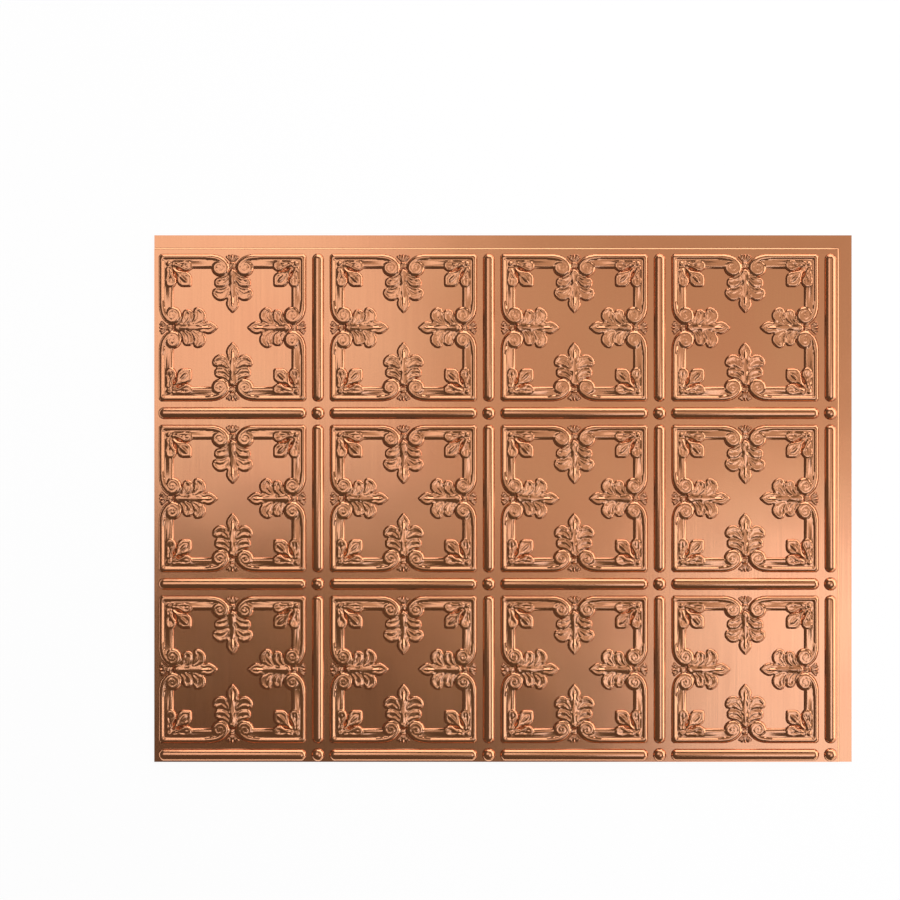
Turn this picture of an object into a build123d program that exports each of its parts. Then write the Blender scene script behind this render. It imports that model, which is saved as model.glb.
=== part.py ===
"""Embossed vinyl backsplash panel: one thermoformed sheet with square pressed tiles and a lap flange.

Frame: +Z up out of the decorated face, +X along the long side, +Y along the short side, millimetres.
The origin is on the resting plane, under the centre of the outline. The large raised forms, which are
the ribs, the balls and the tile frames, are hollow behind, as a formed sheet is. The scrolls and leaves
are bosses with the outline of the ornament.
"""
import os
from math import asin, atan, atan2, cos, degrees, hypot, radians, sin, tan

from build123d import *

# Sheet and layout
sheet_thickness = 0.8
tile_columns = 4
tile_rows = 3
tile_pitch = 152.4
lap_width = 12.7
flange_drop = 0.8

# Half-round ribs between the tiles, and the balls where they cross
rib_width = 10.0
rib_height = 4.0
rib_flats = 5
rib_end_clearance = 10.0
rib_end_draft = 35.0
rib_hollow_draft = 35.0
ball_diameter = 11.6
ball_height = 4.2
ball_shoulder_height = 2.4
ball_side_draft = 22.0
ball_top_draft = 58.0
ball_sides = 8
ball_hollow_sides = 4

# Raised square frame of a tile: a band round the sunken field, and a crest along its outer edge
frame_size = 131.6
frame_width = 13.4
crest_height = 2.7
crest_rise_width = 2.3
crest_fall_width = 2.6
band_height = 1.6
field_draft = 40.0

# Pairs of scrolls at the middle of each side, placed by their distance from the tile's centre
scroll_across = 11.0
scroll_out = 53.4
scroll_diameter = 16.8
scroll_height = 2.7
scroll_draft = 30.0
scroll_sides = 6

# Gap in the frame between the two scrolls, which opens from its neck to its mouth
gap_draft = 35.0
gap_neck_width = 6.0
gap_neck_out = 58.8
gap_mouth_width = 31.0

# Palm leaf at the middle of each side: a pointed tip, then two round lobes on each side of the stem
leaf_draft = 30.0
palm_height = 2.1
palm_tip_out = 12.6
palm_shoulder_across = 6.2
palm_shoulder_out = 20.6
palm_waist_across = 5.2
palm_waist_out = 25.2
lower_lobe_across = 11.2
lower_lobe_out = 30.2
lower_lobe_radius = 7.6
lower_lobe_start = -105.0
lower_lobe_end = 42.0
lower_lobe_sides = 2
palm_fork_across = 13.2
palm_fork_out = 36.2
upper_lobe_across = 10.6
upper_lobe_out = 39.6
upper_lobe_radius = 6.3
upper_lobe_start = -14.0
upper_lobe_end = 58.0
upper_lobe_sides = 1
palm_neck_across = 4.0
palm_neck_out = 46.0
palm_root_across = 3.0
palm_root_out = 51.8

# Three leaves in each corner of the tile: one on the diagonal and one along each side of the frame
corner_leaf_height = 2.4
corner_tip_out = 51.8
corner_shoulder_out = 59.2
corner_shoulder_width = 11.2
corner_root_out = 73.0
side_leaf_height = 2.7
side_tip_across = 35.0
side_tip_out = 55.4
side_shoulder_across = 40.0
side_shoulder_width = 10.8
side_root_across = 54.0
side_root_out = 57.0

# Overall size and the levels of the sheet, worked out from the above
half_lap = lap_width / 2
panel_length = tile_columns * tile_pitch + lap_width
panel_width = tile_rows * tile_pitch + lap_width
back_level = flange_drop
face_level = flange_drop + sheet_thickness
right_side = panel_length / 2
top_side = panel_width / 2
side_length = hypot(side_root_across - side_tip_across, side_root_out - side_tip_out)
side_lean = degrees(atan2(side_root_out - side_tip_out, side_root_across - side_tip_across))
field_size = frame_size - 2 * frame_width
crest_size = frame_size - 2 * crest_rise_width
band_size = crest_size - 2 * crest_fall_width
crest_draft = degrees(atan(crest_rise_width / crest_height))


def wall_inset(draft):
    """How far a hollow's foot lies inside the foot of a drafted form, for a wall of the sheet's thickness."""
    return sheet_thickness * (1 / cos(radians(draft)) - tan(radians(draft)))


def boss(plan, height, draft, level=face_level):
    """A form raised on a level, drawn in by its draft."""
    return Pos(0, 0, level) * extrude(plan, height, taper=draft)


def mirrored(half):
    """An outline closed by the mirror image of its points, which start and end beside the Y axis."""
    return half + [(-x, y) for x, y in reversed(half)]


def round_end(across, out, radius, start, end, sides):
    """Points along the round end of a lobe, from one angle to another."""
    turns = [radians(start + (end - start) * step / sides) for step in range(sides + 1)]
    return [(across + radius * cos(turn), out + radius * sin(turn)) for turn in turns]


def drawn_in(points, inset):
    """An outline's corners, counter-clockwise, with every edge moved in by the same distance."""
    corners = [Vector(x, y) for x, y in points]
    moved = []
    for before, corner, after in zip(corners[-1:] + corners[:-1], corners, corners[1:] + corners[:1]):
        first = (corner - before).normalized().rotate(Axis.Z, 90)
        second = (after - corner).normalized().rotate(Axis.Z, 90)
        moved.append(corner + (first + second) * (inset / (1 + first.dot(second))))
    return [(corner.X, corner.Y) for corner in moved]


def drafted(points, height, draft, level=face_level):
    """A form of any outline raised on a level, with a flat wall on each edge drawn in by its draft."""
    foot = [(x, y, level) for x, y in points]
    top = [(x, y, level + height) for x, y in drawn_in(points, height * tan(radians(draft)))]
    walls = zip(foot, foot[1:] + foot[:1], top[1:] + top[:1], top)
    return Solid(Shell([Face(Wire.make_polygon(corners)) for corners in (foot, top, *walls)]))


def square_corners(size):
    """The corners of a square, counter-clockwise."""
    return [(-size / 2, -size / 2), (size / 2, -size / 2), (size / 2, size / 2), (-size / 2, size / 2)]


def square_form(foot_size, top_size, height, level=face_level):
    """A square form on a level, from one size at its foot to another at its top."""
    draft = degrees(atan((foot_size - top_size) / 2 / height))
    return drafted(square_corners(foot_size), height, draft, level)


def cap_radius(width, height):
    """Radius of the arc that rises this height over this width."""
    return (width**2 / 4 + height**2) / (2 * height)


def rib():
    """A half-round rib along X with sloping ends, its arc laid out in flats."""
    length = tile_pitch - 2 * rib_end_clearance
    radius = cap_radius(rib_width, rib_height)
    lean = degrees(asin((radius - rib_height) / radius))
    section = Polygon(*round_end(0, rib_height - radius, radius, lean, 180 - lean, rib_flats), align=None)
    bar = Pos(-length / 2, 0, face_level) * extrude(Plane.YZ * section, length)
    return bar & boss(Rectangle(length, 2 * rib_width), rib_height * 2, rib_end_draft)


def rib_hollow():
    """The hollow behind a rib."""
    length = tile_pitch - 2 * rib_end_clearance - 2 * wall_inset(rib_end_draft)
    width = rib_width - 2 * wall_inset(rib_hollow_draft)
    return boss(Rectangle(length, width), rib_height - sheet_thickness / 2, rib_hollow_draft, back_level)


def ball():
    """The faceted ball where two ribs cross."""
    radius = ball_diameter / 2
    shoulder = radius - ball_shoulder_height * tan(radians(ball_side_draft))
    side = boss(RegularPolygon(radius, ball_sides), ball_shoulder_height, ball_side_draft)
    top_height = ball_height - ball_shoulder_height
    top_level = face_level + ball_shoulder_height
    return side + boss(RegularPolygon(shoulder, ball_sides), top_height, ball_top_draft, top_level)


def ball_hollow():
    """The hollow behind a ball."""
    plan = RegularPolygon(ball_diameter / 2 - wall_inset(rib_hollow_draft), ball_hollow_sides)
    return boss(plan, ball_height - sheet_thickness, rib_hollow_draft, back_level)


def gaps(half, level):
    """The gaps in the middle of the frame's four sides, from half of a gap's outline."""
    gap = drafted(mirrored(half), crest_height, -gap_draft, level)
    return [Rot(0, 0, 90 * quarter) * gap for quarter in range(4)]


def frame_ring():
    """The raised frame round the sunken field, with a crest along its outer edge and a gap in each side."""
    ring = square_form(frame_size, crest_size, crest_height)
    ring -= square_form(band_size, crest_size, crest_height - band_height, face_level + band_height)
    ring -= drafted(square_corners(field_size), crest_height, -field_draft)
    half = [(gap_neck_width / 2, gap_neck_out), (gap_mouth_width / 2, frame_size / 2 + crest_height)]
    return ring.cut(*gaps(half, face_level))


def frame_hollow():
    """The hollow behind the frame's band, which stops before each gap."""
    outer = frame_size - 2 * wall_inset(crest_draft)
    inner = field_size + 2 * wall_inset(field_draft)
    ring = boss(Rectangle(outer, outer), band_height, crest_draft, back_level)
    ring -= drafted(square_corners(inner), band_height, -field_draft, back_level)
    half = [(gap_mouth_width / 2, field_size / 2 - crest_height), (gap_mouth_width / 2, frame_size / 2)]
    return ring.cut(*gaps(half, back_level))


def palm():
    """The palm leaf of the tile's north side, pointing to the tile's centre."""
    half = [(palm_shoulder_across, palm_shoulder_out), (palm_waist_across, palm_waist_out)]
    half += round_end(
        lower_lobe_across, lower_lobe_out, lower_lobe_radius,
        lower_lobe_start, lower_lobe_end, lower_lobe_sides,
    )
    half.append((palm_fork_across, palm_fork_out))
    half += round_end(
        upper_lobe_across, upper_lobe_out, upper_lobe_radius,
        upper_lobe_start, upper_lobe_end, upper_lobe_sides,
    )
    half += [(palm_neck_across, palm_neck_out), (palm_root_across, palm_root_out)]
    return drafted([(0, palm_tip_out)] + mirrored(half), palm_height, leaf_draft)


def side_ornament():
    """The pair of scrolls and the palm leaf of the tile's north side."""
    disc = boss(RegularPolygon(scroll_diameter / 2, scroll_sides), scroll_height, scroll_draft)
    return [palm()] + [Pos(side * scroll_across, scroll_out, 0) * disc for side in (-1, 1)]


def leaf(tip, shoulder, width, root, height):
    """A leaf along X, pointed at its tip and its root, and widest at its shoulder."""
    plan = Polygon((tip, 0), (shoulder, -width / 2), (root, 0), (shoulder, width / 2), align=None)
    return boss(plan, height, leaf_draft)


def corner_ornament():
    """The three leaves in the north-east corner of the tile."""
    middle = leaf(
        corner_tip_out, corner_shoulder_out, corner_shoulder_width, corner_root_out, corner_leaf_height
    )
    side = leaf(0, side_shoulder_across - side_tip_across, side_shoulder_width, side_length, side_leaf_height)
    along = Pos(side_tip_across, side_tip_out, 0) * Rot(0, 0, side_lean) * side
    return [Rot(0, 0, 45) * middle, along, mirror(along, Plane((0, 0, 0), z_dir=(1, -1, 0)))]


def tile():
    """One pressed tile with the rib on its right, the rib below it and the ball between them."""
    reach = tile_pitch / 2
    plate = Pos(half_lap, -half_lap) * boss(Rectangle(tile_pitch, tile_pitch), sheet_thickness, 0, back_level)
    raised = [frame_ring()]
    for quarter in range(4):
        raised += [Rot(0, 0, 90 * quarter) * piece for piece in side_ornament() + corner_ornament()]
    hollows = [frame_hollow()]
    for bar, knob, forms in ((rib(), ball(), raised), (rib_hollow(), ball_hollow(), hollows)):
        forms.append(Pos(reach, 0, 0) * Rot(0, 0, 90) * bar)
        forms.append(Pos(0, -reach, 0) * bar)
        forms.append(Pos(reach, -reach, 0) * knob)
    return plate.fuse(*raised).cut(*hollows)


def corner_box(length, width, height, x, y):
    """A box whose upper right corner is at x, y and whose underside is on the resting plane."""
    return Pos(x, y, 0) * Box(length, width, height, align=(Align.MAX, Align.MAX, Align.MIN))


def lap_flange():
    """The lowered strips along the top and right edges, which the next panels lap over, and their riser."""
    step_x = right_side - lap_width
    step_y = top_side - lap_width
    strip = corner_box(panel_length, panel_width, sheet_thickness, right_side, top_side)
    riser_x = step_x + sheet_thickness
    riser_y = step_y + sheet_thickness
    riser = corner_box(riser_x + right_side, riser_y + top_side, face_level, riser_x, riser_y)
    return strip + riser - corner_box(panel_length, panel_width, 2 * face_level, step_x, step_y)


def panel():
    """Every tile of the sheet side by side, with the lap flange."""
    pressed = tile()
    first_x = -right_side + tile_pitch / 2 - half_lap
    first_y = -top_side + tile_pitch / 2 + half_lap
    tiles = []
    for column in range(tile_columns):
        for row in range(tile_rows):
            tiles.append(Pos(first_x + column * tile_pitch, first_y + row * tile_pitch, 0) * pressed)
    return lap_flange().fuse(*tiles)


if __name__ == "__main__":
    os.makedirs("parts", exist_ok=True)
    export_step(panel(), "parts/backsplash_panel.step")
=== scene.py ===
from functools import lru_cache
from math import hypot

import bmesh
import bpy
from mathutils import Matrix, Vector


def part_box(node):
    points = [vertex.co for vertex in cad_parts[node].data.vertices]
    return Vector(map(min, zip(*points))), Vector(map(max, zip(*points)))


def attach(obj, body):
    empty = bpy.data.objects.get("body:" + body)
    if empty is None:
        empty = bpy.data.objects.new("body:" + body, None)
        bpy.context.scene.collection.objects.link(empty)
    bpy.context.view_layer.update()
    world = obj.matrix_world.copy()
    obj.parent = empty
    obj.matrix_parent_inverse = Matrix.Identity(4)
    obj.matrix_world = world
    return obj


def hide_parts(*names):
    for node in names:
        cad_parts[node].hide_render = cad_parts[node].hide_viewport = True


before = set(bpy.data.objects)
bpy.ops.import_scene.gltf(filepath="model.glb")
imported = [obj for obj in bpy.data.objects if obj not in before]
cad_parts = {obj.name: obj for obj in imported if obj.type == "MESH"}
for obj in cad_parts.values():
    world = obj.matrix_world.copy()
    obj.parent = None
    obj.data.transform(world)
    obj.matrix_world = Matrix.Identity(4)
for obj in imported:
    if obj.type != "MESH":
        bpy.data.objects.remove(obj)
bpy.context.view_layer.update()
NODE = "backsplash_panel"
MM = 0.001

bl_info = {
    "name": "Embossed Backsplash Panel",
    "version": (1, 0, 0),
    "blender": (4, 5, 0),
    "location": "3D View > Sidebar > Backsplash",
    "description": "Builds a formed vinyl backsplash panel with a copper-coloured film, and its studio",
    "category": "Object",
}


class PanelSizes(bpy.types.PropertyGroup):
    """Sizes of the formed sheet."""

    pitch: bpy.props.FloatProperty(
        name="Tile pitch", description="Distance between the centres of two tiles", default=0.1524,
        unit="LENGTH",
    )
    lap: bpy.props.FloatProperty(
        name="Lap width", description="Width of the lowered strips along two edges", default=0.0127,
        unit="LENGTH",
    )
    thickness: bpy.props.FloatProperty(
        name="Sheet thickness", description="Thickness of the vinyl", default=0.0008, unit="LENGTH"
    )
    depth: bpy.props.FloatProperty(
        name="Relief depth", description="Factor on the height of all raised forms", default=1.0,
        min=0.1, max=1.1,
    )


class FilmLook(bpy.types.PropertyGroup):
    """Finish of the sheet's two faces."""

    copper: bpy.props.FloatVectorProperty(
        name="Copper", description="Main colour of the film", subtype="COLOR", size=3,
        default=(0.93, 0.42, 0.19),
    )
    rose: bpy.props.FloatVectorProperty(
        name="Rose copper", description="Colour of the film's warmer clouds", subtype="COLOR", size=3,
        default=(0.89, 0.36, 0.16),
    )
    # Painted shade: a dark colour laid into the nooks at the feet of the forms, where shade falls
    painted_shade_colour: bpy.props.FloatVectorProperty(
        name="Painted shade", description="Colour of the film in the nooks at the feet of the forms",
        subtype="COLOR", size=3, default=(0.28, 0.11, 0.05),
    )
    polish: bpy.props.FloatProperty(
        name="Roughness", description="Roughness of the film", default=0.22, min=0.0, max=1.0
    )
    vinyl: bpy.props.FloatVectorProperty(
        name="Plain vinyl", description="Colour of the undecorated back", subtype="COLOR", size=3,
        default=(0.62, 0.60, 0.56),
    )


class StudioLook(bpy.types.PropertyGroup):
    """Floor, lamps and camera."""

    floor: bpy.props.FloatVectorProperty(
        name="Floor", description="Colour of the floor", subtype="COLOR", size=3, default=(0.94, 0.94, 0.94)
    )
    left_box: bpy.props.FloatProperty(
        name="Left softbox", description="Power of the softbox over the panel's upper left", default=5.1,
        min=0.0,
    )
    fill_box: bpy.props.FloatProperty(
        name="Fill softbox", description="Power of the wide, weak softbox over the right half", default=3.5,
        min=0.0,
    )
    right_box: bpy.props.FloatProperty(
        name="Right softbox", description="Power of the softbox over the panel's lower right", default=4.2,
        min=0.0,
    )
    key: bpy.props.FloatProperty(
        name="Low softboxes", description="Power of the low softboxes on the right and at the top",
        default=27.0, min=0.0,
    )
    distance: bpy.props.FloatProperty(
        name="Camera height", description="Height of the camera over the panel", default=2.0, unit="LENGTH"
    )
    width: bpy.props.FloatProperty(
        name="View width", description="Width of the panel's plane that the picture takes in",
        default=0.8036, unit="LENGTH",
    )
    centre: bpy.props.FloatVectorProperty(
        name="View centre", description="Point of the panel's plane in the middle of the picture", size=2,
        subtype="XYZ_LENGTH", default=(-0.0473, 0.0433),
    )


# Relief of one tile, in millimetres over the flat sheet, by distance from the tile's middle
HALF_PITCH = 76.2
RIB_HALF_WIDTH = 5.4
RIB_RISE = 4.0
RIB_REACH = 66.2
BALL_RADIUS = 6.0
BALL_RISE = 4.2
FOOT = 0.1
# Height over the sheet up to which painted shade darkens the feet of the forms
SHADE_FADE_HEIGHT = 1.1
CREST = 2.7
FRAME_SECTION = (
    (52.4, 0.0), (55.7, 1.9), (57.5, 1.5), (59.3, 1.75), (60.9, 1.5), (62.7, CREST), (65.9, 0.0),
)
LEAF_SECTION = ((0.0, 0.0), (2.3, 1.0), (3.6, 0.8), (5.4, 0.9))
SCROLL_PATH = (
    (28.0, 62.7), (23.0, 62.7), (18.5, 62.6), (14.4, 61.9), (10.6, 60.4), (7.6, 57.9), (5.9, 54.9),
    (6.0, 51.6), (7.9, 49.2), (10.9, 48.4), (13.9, 49.4), (15.7, 51.9), (15.5, 54.9), (13.4, 57.0),
    (10.7, 57.0), (8.8, 55.3), (8.8, 52.9), (10.4, 51.5), (12.3, 52.1), (12.6, 53.9), (11.2, 54.6),
)
SCROLL_MIDDLE = (10.9, 53.2)
SCROLL_RADIUS = 6.2
SCROLL_FLOOR = 2.25
SCROLL_BEAD = 3.2
CLASP_OUT = 55.7
FAN_ROOT = 58.6
TAIL_SIDE = ((53.0, 5.8), (54.9, 5.9), (57.9, 7.6), (60.4, 10.6), (61.9, 14.4), (62.6, 18.5), (64.0, 24.0))
PALM_OUTLINE = (
    (0.0, 12.8), (3.2, 15.4), (5.4, 18.8), (6.1, 22.0), (5.2, 25.4), (8.2, 23.9), (12.0, 23.6),
    (15.6, 25.4), (18.0, 28.6), (18.4, 32.0), (17.0, 34.6), (14.6, 35.6), (16.3, 37.6), (16.7, 40.4),
    (15.8, 43.2), (13.4, 44.9), (9.4, 45.6), (6.0, 46.8), (4.2, 49.0), (3.4, 51.4), (0.0, 52.8),
)
PALM_FOLDS = (
    ((14.8, 35.6), (10.0, 35.2), (5.6, 36.8), (2.6, 41.0)),
    ((6.0, 25.0), (4.4, 28.6), (2.7, 33.0), (1.7, 39.0)),
    ((16.2, 31.4), (11.4, 29.8), (6.6, 31.6), (3.4, 37.0)),
    ((14.4, 41.2), (10.4, 40.2), (6.2, 41.8), (3.2, 46.4)),
)
SIDE_LEAF = (
    (55.0, 58.8), (51.4, 60.2), (47.2, 59.4), (43.0, 60.4), (38.6, 60.0), (35.7, 57.8), (35.2, 54.6),
    (36.6, 51.8), (39.4, 50.0), (42.8, 49.8), (45.6, 51.2), (48.6, 53.0), (52.0, 54.0), (55.0, 55.4),
)
SIDE_FOLDS = (((53.5, 57.0), (48.0, 56.4), (43.0, 56.6)), ((50.0, 58.6), (45.6, 57.8), (41.0, 58.8)))
MIDDLE_LEAF = (
    (36.8, 36.8), (36.0, 41.8), (36.6, 46.6), (39.6, 49.4), (43.8, 50.4), (47.8, 51.8), (51.6, 54.2),
    (54.0, 54.0),
)
HOLLOW_REACH = ((1.1, 0.0), (0.0, 1.1), (0.8, 0.8), (0.8, -0.8))

# Mesh of one cell, a tile with the rib on its right and the rib below it, in millimetres
CELL_BORDER = 6.35
BORDER_STRIDE = 12
FIELD_STEPS = 44
FRAME_LINES = (
    52.8, 53.6, 54.6, 55.7, 56.6, 57.5, 58.4, 59.3, 60.1, 60.9, 61.5, 62.1, 62.7, 63.7, 64.7, 65.5,
    65.9, 66.2,
)
RIB_LINES = (0.0, 1.7, 3.2, 4.4, 5.1, 5.4, 6.0)
BACK_STEP = 1.32
BACK_STEPS = 50
BACK_RIB_STEP = 0.8
BACK_RIB_STEPS = 7
FACE_TRIANGLES = 11650
BACK_TRIANGLES = 2200
PLANE_ANGLE = 0.002
LONG_RUN = 5.0
SLOPE_STEP = 0.1
FOOT_CATCH = 0.35
FOOT_REACH = 0.5
FOOT_HALVINGS = 9
AT_FOOT = 0.12
CREASE_STEP = 0.15
CREASE_BEND = 0.3
NORMAL_SHIFT = 0.4
NORMAL_SHARE = 0.6

# Tolerances, in metres
WELD = 0.00002
ON_LINE = 0.000005


def ease(t):
    """Smooth rise from 0 to 1, level at both ends."""
    t = min(max(t, 0.0), 1.0)
    return t * t * (3.0 - 2.0 * t)


def straight(t):
    return t


def dome(t):
    """Round rise, steep at the foot and level at the top."""
    t = min(max(t, 0.0), 1.0)
    return (t * (2.0 - t)) ** 0.6


def follow(knots, at, bend=ease):
    """Value at a place between knots of (place, value)."""
    if at <= knots[0][0]:
        return knots[0][1]
    for (low, start), (high, end) in zip(knots, knots[1:]):
        if at <= high:
            return start + (end - start) * bend((at - low) / (high - low))
    return knots[-1][1]


def bell(q, power):
    """Round bump of height 1 that ends at 1."""
    q = abs(q)
    return (1.0 - q**power) ** 2 if q < 1.0 else 0.0


def merge(a, b, soft):
    """The higher of two heights, with a soft turn where they meet."""
    soft = min(soft, 2.0 * min(a, b))
    if soft <= 0.0:
        return max(a, b)
    near = max(soft - abs(a - b), 0.0) / soft
    return max(a, b) + near * near * soft * 0.25


class Stroke:
    """A smooth line through a few points, as short straight runs."""

    def __init__(self, points, closed=False, steps=5):
        ends = (points[-1], points[0], points[1]) if closed else (points[0], points[-1], points[-1])
        chain = [ends[0], *points, ends[1]] + ([ends[2]] if closed else [])
        places = []
        for p, a, b, n in zip(chain, chain[1:], chain[2:], chain[3:]):
            for step in range(steps):
                t = step / steps
                places.append(tuple(
                    a[i] + 0.5 * t * (b[i] - p[i] + t * (2 * p[i] - 5 * a[i] + 4 * b[i] - n[i]
                    + t * (3 * (a[i] - b[i]) + n[i] - p[i]))) for i in (0, 1)
                ))
        places.append(points[0] if closed else points[-1])
        self.runs = [(*a, b[0] - a[0], b[1] - a[1]) for a, b in zip(places, places[1:])]
        self.low = [min(p[i] for p in places) for i in (0, 1)]
        self.high = [max(p[i] for p in places) for i in (0, 1)]

    def near(self, x, y, reach):
        return all(low - reach < at < high + reach for low, at, high in zip(self.low, (x, y), self.high))

    def distance(self, x, y):
        best = 1e9
        for ax, ay, dx, dy in self.runs:
            px, py = x - ax, y - ay
            size = dx * dx + dy * dy
            t = (px * dx + py * dy) / size if size else 0.0
            t = 0.0 if t < 0.0 else 1.0 if t > 1.0 else t
            ex, ey = px - t * dx, py - t * dy
            gap = ex * ex + ey * ey
            if gap < best:
                best = gap
        return best**0.5

    def depth(self, x, y):
        """How far a place lies inside the closed line, or 0 outside it."""
        if not self.near(x, y, 0.0):
            return 0.0
        inside = False
        for ax, ay, dx, dy in self.runs:
            if (ay > y) != (ay + dy > y) and x < ax + dx * (y - ay) / dy:
                inside = not inside
        return self.distance(x, y) if inside else 0.0


def mirrored(points, turn):
    return points + tuple(turn(p) for p in reversed(points[1:-1]))


SCROLL = Stroke(SCROLL_PATH)
PALM = Stroke(mirrored(PALM_OUTLINE, lambda p: (-p[0], p[1])), closed=True)
FOLDS = [Stroke(points) for points in PALM_FOLDS]
SIDE = Stroke(SIDE_LEAF, closed=True)
CREASES = [Stroke(points) for points in SIDE_FOLDS]
MIDDLE = Stroke(mirrored(MIDDLE_LEAF, lambda p: (p[1], p[0])), closed=True)


def groove(strokes, x, y, width):
    """Share of a groove's depth at a place beside the lines that it follows."""
    most = 0.0
    for stroke in strokes:
        if stroke.near(x, y, width):
            most = max(most, bell(stroke.distance(x, y) / width, 2.0))
    return most


def rib(across, out):
    q = hypot(HALF_PITCH - out, max(across - (RIB_REACH - RIB_HALF_WIDTH), 0.0)) / RIB_HALF_WIDTH
    return RIB_RISE * dome(1.0 - q)


def ball(across, out):
    return BALL_RISE * dome(1.0 - hypot(HALF_PITCH - out, HALF_PITCH - across) / BALL_RADIUS)


def tile_frame(across, out):
    """The frame's crest and band, opened in the middle of each side, and its scrolls."""
    edge = out + ease((across - out + 2.0) / 2.0) * ease((out - 59.0) / 4.0)
    if edge < FRAME_SECTION[1][0]:
        run = FRAME_SECTION[1][0] - FRAME_SECTION[0][0]
        band = FRAME_SECTION[1][1] * dome((edge - FRAME_SECTION[0][0]) / run)
    elif edge > FRAME_SECTION[-2][0]:
        run = FRAME_SECTION[-1][0] - FRAME_SECTION[-2][0]
        band = CREST * dome((FRAME_SECTION[-1][0] - edge) / run)
    else:
        band = follow(FRAME_SECTION, edge)
    if across > 27.0 or out < 44.0:
        return band
    if across < 20.0:
        band *= ease((across - follow(TAIL_SIDE, out, straight)) / 1.2 + 0.5)
    from_middle = hypot(across - SCROLL_MIDDLE[0], out - SCROLL_MIDDLE[1])
    disc = SCROLL_FLOOR * ease((SCROLL_RADIUS - from_middle) / 1.4)
    height = max(band, disc)
    if SCROLL.near(across, out, SCROLL_BEAD):
        off = SCROLL.distance(across, out)
        height = max(height, CREST * dome(1.0 - off / SCROLL_BEAD) * ease((28.0 - across) / 6.0))
    return height


def clasp(across, out):
    """The small square with a button between two scrolls."""
    side = max(across, abs(out - CLASP_OUT))
    button = 0.6 * bell(hypot(across, out - CLASP_OUT) / 1.6, 2.0)
    return 1.5 * ease((3.0 - side) / 1.2) + button - 0.3 * ease((2.0 - side) / 0.8)


def fan(across, out):
    """The spread of short ribs outside the clasp."""
    rise = 0.0
    for tip in ((0.0, 64.4), (2.8, 64.2), (5.0, 63.2)):
        dx, dy = tip[0] * 0.75, tip[1] - FAN_ROOT
        t = min(max((across - tip[0] * 0.25) * dx + (out - FAN_ROOT) * dy, 0.0) / (dx * dx + dy * dy), 1.0)
        gap = hypot(across - tip[0] * 0.25 - dx * t, out - FAN_ROOT - dy * t)
        rise = max(rise, (0.7 + 0.6 * t) * bell(gap / (0.9 + 0.6 * t), 2.2))
    return rise


def leaf_rise(inside):
    """Share of a leaf's height at a distance inside its outline: a round rim and a dished middle."""
    rim = LEAF_SECTION[1][0]
    return dome(inside / rim) if inside < rim else follow(LEAF_SECTION, inside)


def palm(across, out):
    """The five-lobed leaf in the middle of a side, with its folds and its middle ridge."""
    inside = PALM.depth(across, out)
    if not inside:
        return 0.0
    rise = 2.0 * leaf_rise(inside)
    folds = 0.9 * groove(FOLDS[:1], across, out, 1.5) + 0.5 * groove(FOLDS[1:], across, out, 1.1)
    rise -= folds * ease(inside / 2.0)
    width = follow(((18.0, 0.7), (36.0, 1.1), (46.0, 2.4), (51.0, 2.6)), out, straight)
    return rise + 0.75 * bell(across / (width * 1.5), 2.0) * ease(inside / 2.4) * ease((out - 17.0) / 4.0)


def corner_spray(across, out):
    """The bead and the three leaves in a corner of the frame."""
    off = hypot(across - 56.8, out - 57.0)
    bead = 2.9 * bell(off / 3.3, 3.0)
    side = SIDE.depth(across, out)
    leaf = 0.0
    if side:
        leaf = 2.7 * leaf_rise(side) - 0.45 * groove(CREASES, across, out, 1.2) * ease(side / 2.0)
        leaf += 0.5 * bell(hypot(across - 39.6, out - 55.2) / 2.4, 2.0)
    middle = MIDDLE.depth(across, out)
    if middle:
        rise = 2.2 * leaf_rise(middle)
        along = (across + out) / 2.0
        rise += 0.8 * bell((out - across) / 2.6, 2.0) * ease(middle / 2.4) * ease((along - 39.6) / 3.0)
        leaf = merge(leaf, rise, 0.3)
    return max(bead, leaf)


@lru_cache(maxsize=None)
def octant(across, out):
    """Height of the face in one eighth of a tile, which the other seven repeat."""
    height = tile_frame(across, out)
    if out > 64.0:
        height = max(height, rib(across, out), ball(across, out))
    if across < 9.0 and out > 50.0:
        height = merge(height, max(clasp(across, out), fan(across, out)), 0.2)
    if across < 19.0 and out < 55.0:
        height = merge(height, palm(across, out), 0.3)
    if across > 30.0:
        height = merge(height, corner_spray(across, out), 0.2)
    return max(height - FOOT, 0.0) * BALL_RISE / (BALL_RISE - FOOT)


def relief(x, y):
    """Height of the face over the flat sheet, at a place measured from the tile's middle."""
    across, out = sorted((round(abs(x), 4), round(abs(y), 4)))
    return octant(across, out)


def hollow(x, y):
    """Height of the back over its flat parts: the relief drawn in by about the sheet's thickness."""
    low = relief(x, y)
    for dx, dy in HOLLOW_REACH:
        low = min(low, relief(x + dx, y + dy), relief(x - dx, y - dy))
    return low


def slope(height, x, y):
    """The sheet's upright direction at a place."""
    step = SLOPE_STEP
    return Vector((
        (height(x - step, y) - height(x + step, y)) / (2.0 * step),
        (height(x, y - step) - height(x, y + step)) / (2.0 * step),
        1.0,
    ))


def whole_cell(half, rib):
    """Grid lines across one cell, from those of half a tile and half a rib."""
    tile = [-place for place in reversed(half[1:])] + half
    ridge = [HALF_PITCH - off for off in reversed(rib[1:])] + [HALF_PITCH + off for off in rib]
    limit = HALF_PITCH - CELL_BORDER
    return [-limit] + tile + [limit] + ridge + [HALF_PITCH + CELL_BORDER]


def face_lines():
    """Grid lines of the front: even over the field, and on each turn of the frame and of the ribs."""
    field = [FRAME_SECTION[0][0] * step / FIELD_STEPS for step in range(FIELD_STEPS + 1)]
    return whole_cell(field + list(FRAME_LINES), RIB_LINES)


def back_lines():
    """Grid lines of the back, which is coarser."""
    tile = [BACK_STEP * step for step in range(BACK_STEPS + 1)]
    return whole_cell(tile, [BACK_RIB_STEP * step for step in range(BACK_RIB_STEPS + 1)])


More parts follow.
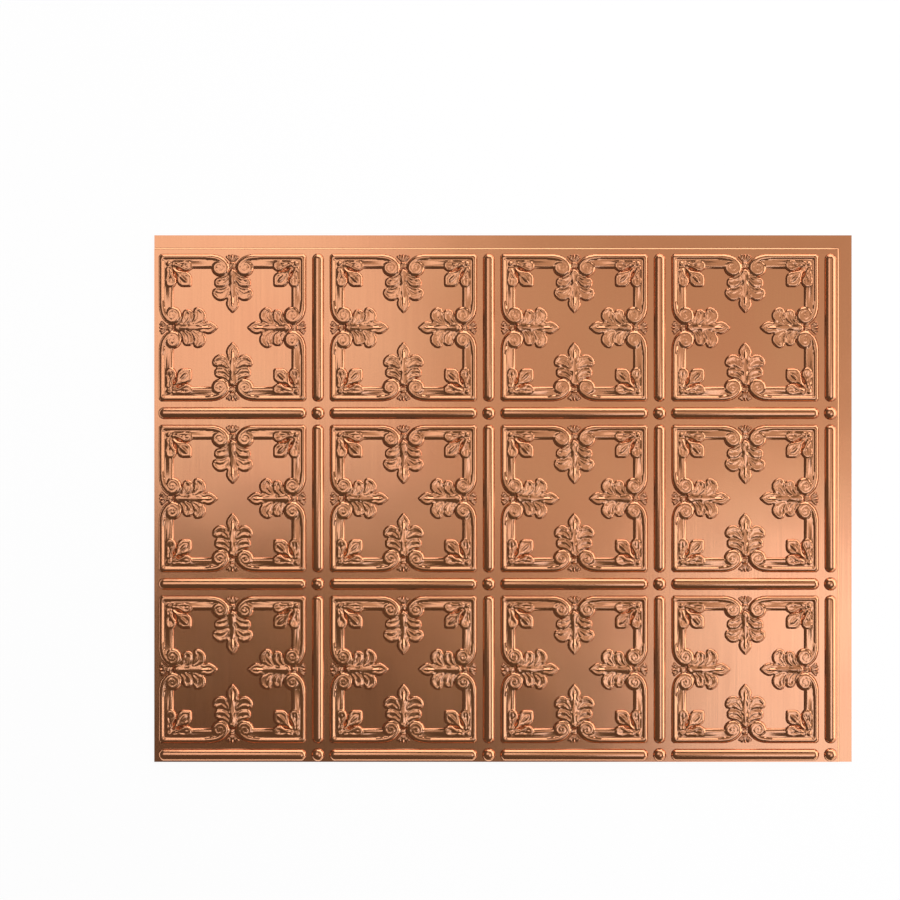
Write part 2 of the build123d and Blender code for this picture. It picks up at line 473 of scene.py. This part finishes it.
def thinned(bm, target):
    """The same cell with fewer triangles where it bends least. Its border and its straight runs stay."""
    bm.verts.index_update()
    runs = {v for e in bm.edges if e.calc_length() > LONG_RUN for v in e.verts if v.co.z > 0.0}
    border = [v.index for v in bm.verts if v.is_boundary or v in runs]
    inner = [v.index for v in bm.verts if not v.is_boundary and v not in runs]
    bmesh.ops.triangulate(bm, faces=bm.faces)
    count = len(bm.calc_loop_triangles())
    mesh = bpy.data.meshes.new("cell")
    bm.to_mesh(mesh)
    bm.free()
    cell = bpy.data.objects.new("cell", mesh)
    bpy.context.scene.collection.objects.link(cell)
    group = cell.vertex_groups.new(name="inner")
    group.add(inner, 1.0, "REPLACE")
    group.add(border, 0.0, "REPLACE")
    fewer = cell.modifiers.new("fewer", "DECIMATE")
    fewer.ratio = target / count
    fewer.vertex_group = group.name
    fewer.vertex_group_factor = 0.001
    made = bpy.data.meshes.new_from_object(cell.evaluated_get(bpy.context.evaluated_depsgraph_get()))
    bm = bmesh.new()
    bm.from_mesh(made)
    bpy.data.objects.remove(cell)
    bpy.data.meshes.remove(mesh)
    bpy.data.meshes.remove(made)
    return bm


def to_foot(bm, height):
    """Raises every vertex by height, and first moves those close to the foot of a form onto it."""
    for vert in bm.verts:
        x, y = vert.co.x, vert.co.y
        level = height(x, y)
        if 0.0 < level < FOOT_CATCH and not vert.is_boundary:
            tilt = slope(height, x, y)
            run = hypot(tilt.x, tilt.y)
            if level < FOOT_REACH * run:
                vert.co.x += tilt.x / run * level / run
                vert.co.y += tilt.y / run * level / run
                level = 0.0
        vert.co.z = level


def cut_at_foot(bm, height):
    """Splits the faces that run from the level sheet up a form, along the form's foot."""
    new = set()
    for edge in list(bm.edges):
        low, high = sorted(edge.verts, key=lambda v: v.co.z)
        if low.co.z > 0.0 or high.co.z == 0.0:
            continue
        near, far = 0.0, 1.0
        for _ in range(FOOT_HALVINGS):
            t = (near + far) / 2.0
            place = low.co.lerp(high.co, t)
            near, far = (near, t) if height(place.x, place.y) > 0.0 else (t, far)
        if near > AT_FOOT:
            made = bmesh.utils.edge_split(edge, low, near)[1]
            made.co.z = 0.0
            new.add(made)
    for face in list(bm.faces):
        corners = list(face.verts)
        ends = [v for v in corners if v in new]
        if len(ends) == 1 and len(corners) == 4:
            across = corners[(corners.index(ends[0]) + 2) % 4]
            if across.co.z == 0.0:
                ends.append(across)
        if len(ends) == 2:
            bmesh.utils.face_split(face, *ends)


def split_quads(bm, height):
    """Splits each four-sided face of a form along the diagonal that lies closer to the relief."""
    for face in list(bm.faces):
        if len(face.verts) != 4 or all(v.co.z == 0.0 for v in face.verts):
            continue
        miss = []
        for first, second in ((0, 2), (1, 3)):
            middle = (face.verts[first].co + face.verts[second].co) / 2.0
            miss.append(abs(middle.z - height(middle.x, middle.y)))
        start = 0 if miss[0] <= miss[1] else 1
        bmesh.utils.face_split(face, face.verts[start], face.verts[start + 2])


def is_creased(height, x, y):
    """Whether the relief turns sharply at a place, as along a form's foot."""
    step = CREASE_STEP
    twice = 2.0 * height(x, y)
    bend_x = abs(height(x + step, y) + height(x - step, y) - twice)
    bend_y = abs(height(x, y + step) + height(x, y - step) - twice)
    return max(bend_x, bend_y) > CREASE_BEND * step


def set_upright(bm, height):
    """Stores each corner's upright direction and its share of painted shade in the hollow at the foot of a
    form.

    The direction is straight up on level faces and the slope's own elsewhere.
    """
    layer = bm.loops.layers.float_vector.new("upright")
    shade_amount = bm.loops.layers.float.new("shade_amount")
    smooth = {}
    for vert in bm.verts:
        x, y = vert.co.x, vert.co.y
        if vert.co.z > 0.0 and not is_creased(height, x, y):
            smooth[vert] = slope(height, x, y).normalized()
    for face in bm.faces:
        level = all(v.co.z == 0.0 for v in face.verts)
        middle = face.calc_center_median()
        for loop in face.loops:
            if level:
                loop[layer] = (0.0, 0.0, 1.0)
                continue
            # Painted shade: the share of darker colour at a corner, fading out with height above the foot
            # of a form
            loop[shade_amount] = max(1.0 - loop.vert.co.z / SHADE_FADE_HEIGHT, 0.0)
            if loop.vert in smooth:
                loop[layer] = smooth[loop.vert]
            else:
                away = middle - loop.vert.co
                place = loop.vert.co + away * min(NORMAL_SHIFT / max(away.length, 0.01), NORMAL_SHARE)
                loop[layer] = slope(height, place.x, place.y).normalized()


def tile_sheet(height, lines, target, crisp):
    """A bmesh of one cell of the sheet, raised by height and thinned to so many triangles."""
    bm = bmesh.new()
    count = len(lines) - 1
    bmesh.ops.create_grid(bm, x_segments=count, y_segments=count, size=1.0)
    spare = []
    for vert in bm.verts:
        column = round((vert.co.x + 1.0) / 2.0 * count)
        row = round((1.0 - vert.co.y) / 2.0 * count)
        vert.co = (lines[column], -lines[row], 0.0)
        along = column if row in (0, count) else row
        if vert.is_boundary and along % BORDER_STRIDE and along != count:
            spare.append(vert)
    bmesh.ops.dissolve_verts(bm, verts=spare)
    to_foot(bm, height)
    if crisp:
        bm.normal_update()
        free = [v for v in bm.verts if not v.is_boundary]
        bmesh.ops.dissolve_limit(bm, angle_limit=PLANE_ANGLE, verts=free, edges=bm.edges)
        split_quads(bm, height)
    bm = thinned(bm, target)
    to_foot(bm, height)
    if crisp:
        cut_at_foot(bm, height)
    bmesh.ops.triangulate(bm, faces=bm.faces)
    if crisp:
        set_upright(bm, height)
    bmesh.ops.scale(bm, vec=(MM, MM, MM), verts=bm.verts)
    return bm


def spread_tiles(bm, sizes):
    """Copies one cell to every place of the panel and joins the cells."""
    low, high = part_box(NODE)
    columns = round((high[0] - low[0] - sizes.lap) / sizes.pitch)
    rows = round((high[1] - low[1] - sizes.lap) / sizes.pitch)
    first_x = low[0] + (sizes.pitch - sizes.lap) / 2.0
    first_y = low[1] + (sizes.pitch + sizes.lap) / 2.0
    cell = bm.verts[:] + bm.edges[:] + bm.faces[:]
    for column in range(columns):
        for row in range(rows):
            place = Vector((first_x + column * sizes.pitch, first_y + row * sizes.pitch, 0.0))
            copy = bmesh.ops.duplicate(bm, geom=cell)["geom"]
            bmesh.ops.translate(bm, vec=place, verts=[g for g in copy if isinstance(g, bmesh.types.BMVert)])
    bmesh.ops.delete(bm, geom=[g for g in cell if isinstance(g, bmesh.types.BMVert)], context="VERTS")
    bmesh.ops.remove_doubles(bm, verts=bm.verts, dist=WELD)


def step_out(bm, profile):
    """Draws the right and top borders out along a profile of (distance out, level)."""
    right = max(v.co.x for v in bm.verts)
    top = max(v.co.y for v in bm.verts)
    reach = 0.0
    for out, level in profile:
        edge_x, edge_y = right + reach, top + reach
        border = []
        for edge in bm.edges:
            if not edge.is_boundary:
                continue
            ends = [v.co for v in edge.verts]
            on_right = all(abs(co.x - edge_x) < ON_LINE for co in ends)
            on_top = all(abs(co.y - edge_y) < ON_LINE for co in ends)
            if on_right or on_top:
                border.append(edge)
        made = bmesh.ops.extrude_edge_only(bm, edges=border)["geom"]
        for vert in [g for g in made if isinstance(g, bmesh.types.BMVert)]:
            if abs(vert.co.x - edge_x) < ON_LINE:
                vert.co.x = right + out
            if abs(vert.co.y - edge_y) < ON_LINE:
                vert.co.y = top + out
            vert.co.z = level
        reach = out


def rank(place):
    """A number that differs for every place on the sheet, to sort by."""
    return place.x + 3.1 * place.y + 7.7 * place.z


def put_in_order(bm):
    """Sorts a mesh by place, so that the operators that follow start alike in every run."""
    bm.verts.sort(key=lambda v: rank(v.co))
    bm.edges.sort(key=lambda e: rank(e.verts[0].co) + rank(e.verts[1].co))
    bm.faces.sort(key=lambda f: rank(f.calc_center_median()))


def formed_sheet(sizes):
    """The whole sheet as one closed mesh: face, back and the narrow rim between them."""
    low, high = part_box(NODE)
    t = sizes.thickness
    base = low[2]
    face_level = base + 2.0 * t
    back_level = base + t
    face = tile_sheet(lambda x, y: relief(x, y) * sizes.depth, face_lines(), FACE_TRIANGLES, True)
    spread_tiles(face, sizes)
    bmesh.ops.translate(face, vec=(0.0, 0.0, face_level), verts=face.verts)
    step_out(face, (
        (0.00035, face_level - 0.05 * t), (0.0008, base + 1.5 * t), (0.00115, base + 1.08 * t),
        (0.0016, base + t), (sizes.lap, base + t),
    ))
    back = tile_sheet(lambda x, y: hollow(x, y) * sizes.depth, back_lines(), BACK_TRIANGLES, False)
    spread_tiles(back, sizes)
    bmesh.ops.translate(back, vec=(0.0, 0.0, back_level), verts=back.verts)
    step_out(back, (
        (0.00002, base + 0.95 * t), (0.0003, base + 0.5 * t), (0.0006, base + 0.08 * t),
        (0.0011, base), (sizes.lap, base),
    ))
    for side, index in ((face, 0), (back, 1)):
        for quad in side.faces:
            quad.material_index = index
    spare = bpy.data.meshes.new("back_side")
    back.to_mesh(spare)
    back.free()
    face.from_mesh(spare)
    bpy.data.meshes.remove(spare)
    put_in_order(face)
    borders = [edge for edge in face.edges if edge.is_boundary]
    rim = bmesh.ops.bridge_loops(face, edges=borders)["faces"]
    for quad in rim:
        quad.material_index = 1
    bmesh.ops.recalc_face_normals(face, faces=face.faces)
    for quad in face.faces:
        quad.smooth = True
    for edge in borders:
        edge.smooth = False
    return face


def add_piece(name, bm, materials):
    mesh = bpy.data.meshes.new(name)
    bm.to_mesh(mesh)
    bm.free()
    for material in materials:
        mesh.materials.append(material)
    piece = bpy.data.objects.new(name, mesh)
    bpy.context.scene.collection.objects.link(piece)
    return piece


class Wire:
    """A shader socket with arithmetic, so that shader maths reads as an expression."""

    def __init__(self, tree, socket):
        self.tree = tree
        self.socket = socket

    def node(self, kind, settings=None, **inputs):
        """Adds a node, sets it up, fills its sockets with values or wires, and returns it."""
        made = self.tree.nodes.new(kind)
        for key, value in (settings or {}).items():
            setattr(made, key, value)
        for key, value in inputs.items():
            name = key.replace("_", " ")
            target = made.inputs[int(name[1:])] if name[1:].isdigit() else made.inputs[name]
            if isinstance(value, Wire):
                self.tree.links.new(value.socket, target)
            else:
                target.default_value = value
        return made

    def out(self, made, name=0):
        return Wire(self.tree, made.outputs[name])

    def math(self, operation, a, b=0.0):
        return self.out(self.node("ShaderNodeMath", {"operation": operation}, i0=a, i1=b))

    def __add__(self, other):
        return self.math("ADD", self, other)

    __radd__ = __add__

    def __mul__(self, other):
        return self.math("MULTIPLY", self, other)

    __rmul__ = __mul__

    def __sub__(self, other):
        return self.math("SUBTRACT", self, other)

    def __rsub__(self, other):
        return self.math("SUBTRACT", other, self)


def new_material(name):
    material = bpy.data.materials.new(name)
    material.use_nodes = True
    tree = material.node_tree
    tree.nodes.clear()
    start = Wire(tree, None)
    place = start.out(start.node("ShaderNodeTexCoord"), "Object")
    return material, place


def finish_material(place, shader):
    place.node("ShaderNodeOutputMaterial", None, Surface=shader)


def stretched(place, x, y, z):
    """The place scaled by a factor along each axis."""
    return place.out(place.node("ShaderNodeMapping", None, Vector=place, Scale=(x, y, z)))


def noise(place, scale, detail=2.0, roughness=0.5):
    made = place.node(
        "ShaderNodeTexNoise", None, Vector=place, Scale=scale, Detail=detail, Roughness=roughness
    )
    return place.out(made, "Fac")


def blend(place, amount, first, second):
    made = place.node(
        "ShaderNodeMix", {"data_type": "RGBA"}, i0=amount, i6=(*first, 1.0), i7=(*second, 1.0)
    )
    return place.out(made, 2)


def copper_film(look):
    """Metallised copper film with upright brush lines, soft clouds of tone, painted shade in the nooks at
    the feet of the forms and a slightly wavy face.
    """
    material, place = new_material("Copper film")
    brush = noise(stretched(place, 900.0, 9.0, 9.0), 1.0, 3.0, 0.6)
    cloud = noise(place, 11.0, 2.0)
    wave = noise(place, 13.0, 1.0)
    tone = (cloud - 0.5) * 1.6 + (brush - 0.5) * 0.9 + 0.5
    # Painted shade: darkens the colour toward the painted shade colour in the nooks at the feet of the
    # forms
    shade_amount = place.out(place.node("ShaderNodeAttribute", {"attribute_name": "shade_amount"}), "Fac")
    bright = blend(place, tone, look.copper, look.rose)
    colour = place.out(place.node(
        "ShaderNodeMix", {"data_type": "RGBA"}, i0=shade_amount * 0.75, i6=bright, i7=(*look.painted_shade_colour, 1.0)
    ), 2)
    roughness = (brush - 0.5) * 0.10 + look.polish
    swell = place.out(place.node("ShaderNodeBump", None, Strength=1.0, Distance=0.0005, Height=wave))
    lines = place.out(place.node(
        "ShaderNodeBump", None, Strength=0.25, Distance=0.00002, Height=brush, Normal=swell
    ))
    shader = place.node(
        "ShaderNodeBsdfPrincipled", None, Base_Color=colour, Metallic=1.0, Roughness=roughness,
        Normal=lines, Coat_Weight=1.0, Coat_Roughness=0.15,
    )
    finish_material(place, place.out(shader))
    return material


def plain_vinyl(look):
    """The undecorated back of the sheet."""
    material, place = new_material("Plain vinyl")
    mottle = noise(place, 60.0, 3.0)
    pebble = noise(place, 900.0, 2.0)
    darker = tuple(0.93 * part for part in look.vinyl)
    colour = blend(place, mottle, look.vinyl, darker)
    bump = place.out(place.node("ShaderNodeBump", None, Strength=0.3, Distance=0.0001, Height=pebble))
    shader = place.node(
        "ShaderNodeBsdfPrincipled", None, Base_Color=colour, Roughness=mottle * 0.1 + 0.42, Normal=bump
    )
    finish_material(place, place.out(shader))
    return material


class BACKSPLASH_OT_sheet(bpy.types.Operator):
    """Builds the embossed sheet"""

    bl_idname = "backsplash.sheet"
    bl_label = "Embossed sheet"

    def execute(self, context):
        look = context.scene.backsplash_film
        sheet = formed_sheet(context.scene.backsplash_sizes)
        piece = add_piece("embossed_sheet", sheet, (copper_film(look), plain_vinyl(look)))
        upright = piece.data.attributes["upright"]
        piece.data.normals_split_custom_set([corner.vector for corner in upright.data])
        piece.data.attributes.remove(upright)
        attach(piece, "root")
        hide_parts(NODE)
        return {"FINISHED"}


def add_lamp(name, power, tint, size, place, aim):
    lamp = bpy.data.lights.new(name, "AREA")
    lamp.color = tint
    lamp.shape = "RECTANGLE"
    lamp.size, lamp.size_y = size
    lamp.energy = power
    made = bpy.data.objects.new(name, lamp)
    bpy.context.scene.collection.objects.link(made)
    made.location = place
    made.rotation_euler = (Vector(aim) - Vector(place)).to_track_quat("-Z", "Y").to_euler()
    return made


class BACKSPLASH_OT_studio(bpy.types.Operator):
    """Builds the floor, lamps, world and camera"""

    bl_idname = "backsplash.studio"
    bl_label = "Studio"

    def execute(self, context):
        scene = context.scene
        look = scene.backsplash_studio
        bm = bmesh.new()
        bmesh.ops.create_grid(bm, x_segments=2, y_segments=2, size=16.0)
        bmesh.ops.translate(bm, vec=(0.0, 0.0, -0.0002), verts=bm.verts)
        material, place = new_material("Studio floor")
        paper = place.node("ShaderNodeBsdfPrincipled", None, Base_Color=(*look.floor, 1.0), Roughness=0.9)
        glow = place.node("ShaderNodeEmission", None, Color=(1.0, 1.0, 1.0, 1.0), Strength=1.09)
        path = place.node("ShaderNodeLightPath")
        seen = place.math("MAXIMUM", place.out(path, "Is Camera Ray"), place.out(path, "Is Glossy Ray"))
        seen = place.math("MAXIMUM", seen, place.out(path, "Is Transmission Ray"))
        mix = place.node(
            "ShaderNodeMixShader", None, Fac=seen * 0.85, i1=place.out(paper), i2=place.out(glow)
        )
        finish_material(place, place.out(mix))
        add_piece("studio_floor", bm, (material,))

        world = bpy.data.worlds.new("Studio")
        world.use_nodes = True
        world.node_tree.nodes["Background"].inputs["Color"].default_value = (1.0, 0.86, 0.74, 1.0)
        world.node_tree.nodes["Background"].inputs["Strength"].default_value = 0.1
        scene.world = world
        cool = (1.0, 1.03, 1.12)
        warm = (1.0, 0.9, 0.82)
        cold = (1.0, 1.16, 1.45)
        plain = (1.0, 1.0, 1.02)
        middle = (0.0, 0.0, 0.1)
        add_lamp("left_box", look.left_box, cool, (1.2, 1.4), (-0.7, 0.62, 2.3), (-0.7, 0.62, 0.0))
        add_lamp("fill_box", look.fill_box, warm, (1.7, 1.6), (0.75, 0.45, 2.35), (0.75, 0.45, 0.0))
        add_lamp("right_box", look.right_box, cold, (1.1, 1.15), (0.92, -0.66, 2.3), (0.92, -0.66, 0.0))
        add_lamp("east_box", look.key, plain, (3.0, 1.5), (2.4, 0.5, 0.85), middle)
        add_lamp("corner_box", 0.2 * look.key, plain, (2.2, 0.9), (1.9, -1.6, 0.6), middle)
        add_lamp("north_box", look.key, plain, (3.0, 1.5), (0.5, 2.4, 0.85), middle)

        camera = bpy.data.cameras.new("Camera")
        camera.sensor_width = 36.0
        camera.lens = 36.0 * look.distance / look.width
        camera.clip_end = 50.0
        made = bpy.data.objects.new("Camera", camera)
        scene.collection.objects.link(made)
        made.location = (look.centre[0], look.centre[1], look.distance)
        made.rotation_euler = (0.0, 0.0, 0.0)
        scene.camera = made
        scene.view_settings.view_transform = "Standard"
        return {"FINISHED"}


class BACKSPLASH_PT_panel(bpy.types.Panel):
    """Lists the sizes, finishes and steps of the backsplash panel"""

    bl_idname = "BACKSPLASH_PT_panel"
    bl_label = "Backsplash panel"
    bl_space_type = "VIEW_3D"
    bl_region_type = "UI"
    bl_category = "Backsplash"

    def draw(self, context):
        scene = context.scene
        for group in (scene.backsplash_sizes, scene.backsplash_film, scene.backsplash_studio):
            box = self.layout.box()
            for name in group.__annotations__:
                box.prop(group, name)
        self.layout.operator(BACKSPLASH_OT_sheet.bl_idname)
        self.layout.operator(BACKSPLASH_OT_studio.bl_idname)


CLASSES = (PanelSizes, FilmLook, StudioLook, BACKSPLASH_OT_sheet, BACKSPLASH_OT_studio, BACKSPLASH_PT_panel)


def register():
    for cls in CLASSES:
        bpy.utils.register_class(cls)
    bpy.types.Scene.backsplash_sizes = bpy.props.PointerProperty(type=PanelSizes)
    bpy.types.Scene.backsplash_film = bpy.props.PointerProperty(type=FilmLook)
    bpy.types.Scene.backsplash_studio = bpy.props.PointerProperty(type=StudioLook)


def unregister():
    del bpy.types.Scene.backsplash_sizes
    del bpy.types.Scene.backsplash_film
    del bpy.types.Scene.backsplash_studio
    for cls in reversed(CLASSES):
        bpy.utils.unregister_class(cls)


def main():
    register()
    bpy.ops.backsplash.sheet()
    bpy.ops.backsplash.studio()


if __name__ == "__main__":
    main()
